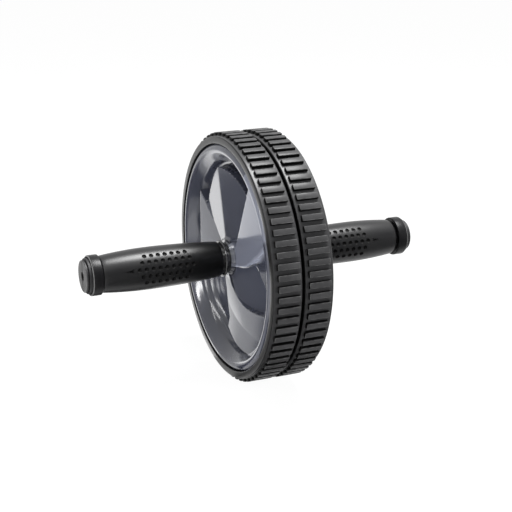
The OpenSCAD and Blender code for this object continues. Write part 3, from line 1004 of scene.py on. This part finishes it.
for side_name, side in SIDES.items():
    start = GRIP_START[side_name]
    places_mesh = bpy.data.meshes.new("dimple_places")
    places_mesh.from_pydata(lay_on_axle(dimple_balls(start, side), side).tolist(), [], [])
    places = helper_object("dimple_places", places_mesh)
    cutter = helper_object("dart_cutter", dart_mesh(start, side))
    barrel = ring_mesh("barrel", turned_points(grip_section(start), BARREL_TURNS), side)
    mesh = dimple_tree(places, cutter).run(f"{side_name}_grip_barrel", barrel)
    bpy.data.objects.remove(places)
    bpy.data.objects.remove(cutter)
    tidy_mesh(mesh, GRIP_CREASE)
    mark_pits(mesh, start)
    add_piece(mesh.name, mesh, "handle_bar", f"{side_name}_grip", "grip_rubber")
    print(side_name, "dimples:", len(places_mesh.vertices))

# %% [markdown]
# ## The end caps
# Each cap is a short black cup. Its inner face is sunk a little where the grip ends, which
# leaves the dark seam, and its outer face is sunk round the plug. It is turned from one
# section rather than bevelled from a cylinder, so each corner has its own rounding and
# catches a thin line of light, as on the real cap.

# %% Both end caps
SMALL_TURNS = 128
STUD_HOLE_R = 4.1
CAP_IN = 117.8
SEAM_BOTTOM = CAP_IN + 1.0
SEAM_IN_R = 12.0
SEAM_OUT_R = 13.6
CAP_FLOOR_OUT = CAP_IN + 2.0
CAP_RIM_R = 13.3
SPIGOT_R = 9.6
PLUG_SEAT = 124.6
CAP_SECTION = rounded([
    (STUD_HOLE_R, SEAM_BOTTOM, 0), (SEAM_IN_R, SEAM_BOTTOM, 0.3), (SEAM_OUT_R, CAP_IN, 0.3),
    (CAP_R, CAP_IN, 0.7), (CAP_R, CAP_OUT, 0.9), (CAP_RIM_R, CAP_OUT, 0.3), (CAP_RIM_R, PLUG_SEAT, 0),
    (SPIGOT_R, PLUG_SEAT, 0), (SPIGOT_R, CAP_FLOOR_OUT, 0), (STUD_HOLE_R, CAP_FLOOR_OUT, 0),
])
for side_name, side in SIDES.items():
    mesh = ring_mesh(f"{side_name}_cap_cup", turned_points(CAP_SECTION, SMALL_TURNS), side)
    add_piece(mesh.name, mesh, "handle_bar", f"{side_name}_end_cap", "cap_plastic")

# %% [markdown]
# ## The end plugs
# A plug closes each cap. It is turned too: a spigot inside the cap, a low ring, a narrow
# dark groove and the round face with its central hole. The groove is what parts the face
# from the ring in the photograph, so it is cut for real and not only coloured.

# %% Both end plugs
PLUG_R = 12.9
PLUG_FACE_R = 11.6
PLUG_RING_OUT = 127.3
PLUG_FACE_IN = 127.8
PLUG_INSIDE = 126.8
GROOVE_R = 10.6
SPIGOT_IN = 121.3
SPIGOT_IN_R = 8.0
PLUG_SECTION = rounded([
    (SPIGOT_IN_R, SPIGOT_IN, 0), (SPIGOT_R, SPIGOT_IN, 0), (SPIGOT_R, PLUG_SEAT, 0), (PLUG_R, PLUG_SEAT, 0),
    (PLUG_R, PLUG_RING_OUT, 0.4), (GROOVE_R, PLUG_RING_OUT, 0), (GROOVE_R, PLUG_FACE_IN, 0),
    (PLUG_FACE_R, PLUG_FACE_IN, 0.2), (PLUG_FACE_R, PLUG_OUT, 0.6), (PLUG_HOLE_R, PLUG_OUT, 0.3),
    (PLUG_HOLE_R, PLUG_INSIDE, 0), (SPIGOT_IN_R, PLUG_INSIDE, 0),
])
for side_name, side in SIDES.items():
    mesh = ring_mesh(f"{side_name}_plug_disc", turned_points(PLUG_SECTION, SMALL_TURNS), side)
    add_piece(mesh.name, mesh, "handle_bar", f"{side_name}_end_plug", "plug_plastic")

# %% [markdown]
# ## Pieces that stay as they are in the CAD model
# The axle, bushes, washers, nuts and handle cores already have their full shape. Making
# them again would only risk a misfit, so they keep their CAD meshes and get a finish.

# %% Finishes for the CAD nodes
slots = {entry["node"]: entry["material_slot"] for entry in frame["record"]["subparts"]}
shown = [name for name, node in frame["nodes"].items() if not node.hide_render]
for name in shown:
    node = frame["nodes"][name]
    node.data.materials.clear()
    node.data.materials.append(FINISH[slots[name]])
print("CAD nodes shown:", len(shown))

# %% [markdown]
# ## The floor
# The photograph is a catalogue picture on white. Light strong enough to wash a floor out
# would wash the object out too, so the floor only glows for the camera and for reflections.
# A small share of it stays plain, and that share shows the object's shadow.

# %% Floor
WHITE_SHARE = 0.92
WHITE_LEVEL = 1.04
FLOOR_SIZE = 3.0
FLOOR_Z = -BAR_TOP_R * MM


def plain_plane(name, corners, finish):
    """A flat, four-cornered piece of the studio, which isn't part of the object."""
    mesh = bpy.data.meshes.new(name)
    mesh.from_pydata(corners, [], [(0, 1, 2, 3)])
    mesh.materials.append(finish.material)
    plane = bpy.data.objects.new(name, mesh)
    bpy.context.scene.collection.objects.link(plane)
    return plane


def floor_finish():
    finish = Finish("studio_floor", roughness=0.9)
    finish.set("Base Color", (0.80, 0.80, 0.80))
    camera_ray, glossy_ray, through_ray = (
        finish.node("ShaderNodeLightPath", out=kind)
        for kind in ("Is Camera Ray", "Is Glossy Ray", "Is Transmission Ray"))
    seen = camera_ray.maths("MAXIMUM", glossy_ray).maths("MAXIMUM", through_ray)
    plain = Wire(finish, finish.shader.outputs[0])
    glow = finish.node("ShaderNodeEmission", {}, {"Color": (1.0, 1.0, 1.0), "Strength": WHITE_LEVEL})
    both = finish.node("ShaderNodeMixShader", {}, {0: seen * WHITE_SHARE, 1: plain, 2: glow})
    finish.plug(finish.output.inputs[0], both)
    return finish


plain_plane("studio_floor", [
    (-FLOOR_SIZE, -FLOOR_SIZE, FLOOR_Z), (FLOOR_SIZE, -FLOOR_SIZE, FLOOR_Z),
    (FLOOR_SIZE, FLOOR_SIZE, FLOOR_Z), (-FLOOR_SIZE, FLOOR_SIZE, FLOOR_Z)], floor_finish())

# %% [markdown]
# ## Cards
# Polished plastic mirrors the room, so studios shape its looks with cards. Black ones, or
# flags, are where the dark facets and the front of the tread look, and glowing ones where
# the pale facet and the lip look. Brighter lamps could make the same contrast, but they
# would bleach the rubber. The cards are seen only in reflections, and cast no shadow.

# %% Cards, for reflections only
FLAG_LIFT = 0.001
GLOW_LIFT = 0.002
LEFT_GLOW_LEVEL = 2.4
LIP_GLOW_LEVEL = 2.0


def card(name, corners, level=0.0):
    """A black card takes light out of a reflection, a glowing one puts it in."""
    finish = Finish(name, roughness=0.9)
    finish.set("Base Color", (0.01, 0.01, 0.01))
    finish.set("Emission Color", (1.0, 1.0, 1.0))
    finish.set("Emission Strength", level)
    plane = plain_plane(name, corners, finish)
    plane.visible_camera = False
    plane.visible_diffuse = False
    plane.visible_shadow = False
    print(name, "level", level)


def on_floor(lift, *places):
    """Corners of a card that lies just above the floor, in metres."""
    return [(x, y, FLOOR_Z + lift) for x, y in places]


card("left_flag", on_floor(FLAG_LIFT, (0.02, -0.022), (-0.30, -0.66), (-0.60, -0.66), (-0.62, -0.375)))
card("left_glow", on_floor(GLOW_LIFT, (-0.03, -0.020), (-0.60, -0.085), (-0.60, -0.27), (-0.03, -0.032)),
     LEFT_GLOW_LEVEL)
card("lip_glow", on_floor(FLAG_LIFT, (0.00, -0.15), (0.30, -0.15), (0.36, -0.45), (-0.02, -0.45)),
     LIP_GLOW_LEVEL)
card("right_flag", on_floor(FLAG_LIFT, (0.05, -0.12), (0.90, -0.12), (0.90, 0.75), (0.05, 0.75)))

# %% An upright flag in front of the tread
FLAG_DISTANCE = 1.2
FLAG_MIDDLE = Vector((0.92, 0.39, 0.0)) * FLAG_DISTANCE
FLAG_ACROSS = Vector((-0.39, 0.92, 0.0))
FLAG_WIDTHS = (-0.9, 1.0)
FLAG_HEIGHTS = (-0.09, 1.0)


def upright(across, height):
    """A corner of the flag, to one side of its middle and at a height."""
    return FLAG_MIDDLE + FLAG_ACROSS * across + Vector((0, 0, height))


card("room_flag", [
    upright(FLAG_WIDTHS[0], FLAG_HEIGHTS[0]), upright(FLAG_WIDTHS[1], FLAG_HEIGHTS[0]),
    upright(FLAG_WIDTHS[1], FLAG_HEIGHTS[1]), upright(FLAG_WIDTHS[0], FLAG_HEIGHTS[1])])

# %% [markdown]
# ## World and lamps
# The world is white for the camera and for reflections, and dim as a light. One large soft
# lamp above and a little behind does most of the lighting. A wide fill from the right, left
# out of reflections, keeps the tread's far side readable. The small boxes and strips are
# weak: they give the sheen and the thin bright lines on rubber and polished plastic.

# %% World
WORLD_LIGHT = 0.30


def studio_world():
    world = bpy.data.worlds.new("studio_world")
    bpy.context.scene.world = world
    world.use_nodes = True
    tree = world.node_tree
    tree.nodes.clear()
    paths = tree.nodes.new("ShaderNodeLightPath")
    seen = paths.outputs["Is Camera Ray"]
    for kind in ("Is Glossy Ray", "Is Transmission Ray"):
        larger = tree.nodes.new("ShaderNodeMath")
        larger.operation = "MAXIMUM"
        tree.links.new(seen, larger.inputs[0])
        tree.links.new(paths.outputs[kind], larger.inputs[1])
        seen = larger.outputs[0]
    strength = tree.nodes.new("ShaderNodeMapRange")
    strength.inputs["To Min"].default_value = WORLD_LIGHT
    strength.inputs["To Max"].default_value = 1.0
    tree.links.new(seen, strength.inputs["Value"])
    background = tree.nodes.new("ShaderNodeBackground")
    tree.links.new(strength.outputs[0], background.inputs["Strength"])
    background.inputs["Color"].default_value = (1.0, 1.0, 1.0, 1.0)
    output = tree.nodes.new("ShaderNodeOutputWorld")
    tree.links.new(background.outputs[0], output.inputs[0])


studio_world()

# %% Lamps, all aimed at the middle of the axle
def soft_lamp(name, place, size, watts, shines=True):
    lamp = bpy.data.lights.new(name, "AREA")
    lamp.shape = "RECTANGLE"
    lamp.size = size[0]
    lamp.size_y = size[1]
    lamp.energy = watts
    holder = bpy.data.objects.new(name, lamp)
    holder.location = place
    holder.rotation_euler = (-Vector(place)).to_track_quat("-Z", "Y").to_euler()
    holder.visible_camera = False
    holder.visible_glossy = shines
    bpy.context.scene.collection.objects.link(holder)
    print(name, "watts", watts)


soft_lamp("top_lamp", place=(0.02, 0.24, 0.98), size=(0.45, 0.45), watts=28.0)
soft_lamp("front_strip", place=(-0.05, -0.95, 0.05), size=(0.06, 0.5), watts=0.35)
soft_lamp("high_box", place=(0.72, -0.46, 0.88), size=(0.09, 0.5), watts=1.8)
soft_lamp("over_strip", place=(0.05, -0.36, 0.90), size=(0.5, 0.04), watts=0.9)
soft_lamp("shoulder_box", place=(0.14, -0.88, 0.42), size=(0.3, 0.12), watts=2.4)
soft_lamp("fill_lamp", place=(0.95, 0.95, 0.35), size=(0.6, 0.6), watts=16.0, shines=False)
bpy.context.scene.view_settings.view_transform = "Standard"
